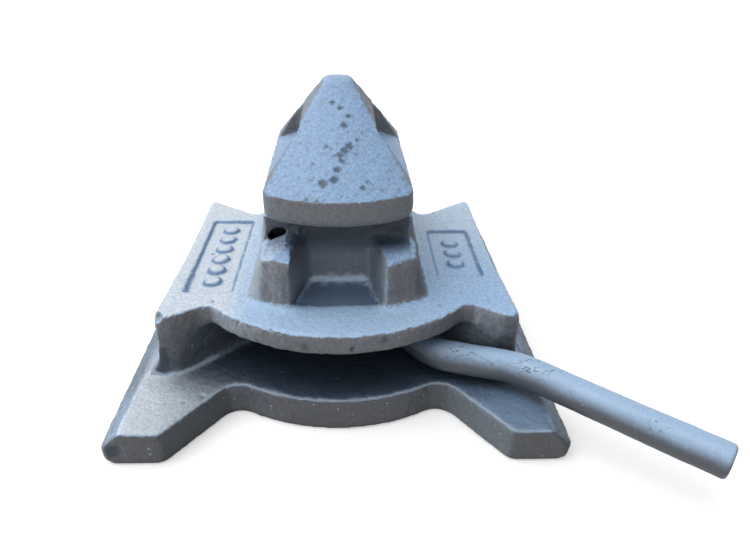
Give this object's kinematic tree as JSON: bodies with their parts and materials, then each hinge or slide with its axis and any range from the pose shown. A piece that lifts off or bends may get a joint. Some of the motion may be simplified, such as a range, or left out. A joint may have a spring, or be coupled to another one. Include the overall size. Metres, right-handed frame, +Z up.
{
  "type": "container twistlock",
  "caption": "Dovetail-base container twistlock: cast housing with collar and handle slot, turning cone spindle and bent bar handle.",
  "frame": {"origin": "on the spindle axis, in the plane of the base's underside", "axes": "+Z up along the spindle; Y along the dovetail's slide, with the handle slot at -Y; +X to the right seen from the handle side"},
  "size_m": [0.2142, 0.1995, 0.1169],
  "materials": {
    "cast_paint": "sprayed silver-grey over rough cast steel",
    "forged_paint": "sprayed silver-grey over forged steel",
    "bar_paint": "sprayed silver-grey over smooth bar, scratched",
    "steel": "plain machined steel"
  },
  "bodies": {
    "housing_body": {"housing": "cast_paint", "thrust_washer": "steel", "disc_spring": "steel", "spindle_retaining_pin": "steel"},
    "spindle_body": {"cone_spindle": "forged_paint", "handle_hub": "steel", "handle": "bar_paint", "handle_roll_pin": "steel"}
  },
  "joints": [
    {"name": "spindle_turn", "type": "hinge", "parent": "housing_body", "child": "spindle_body", "pos_m": [0, 0, 0], "axis": [0, 0, 1], "range_deg": [-76, 0]}
  ]
}
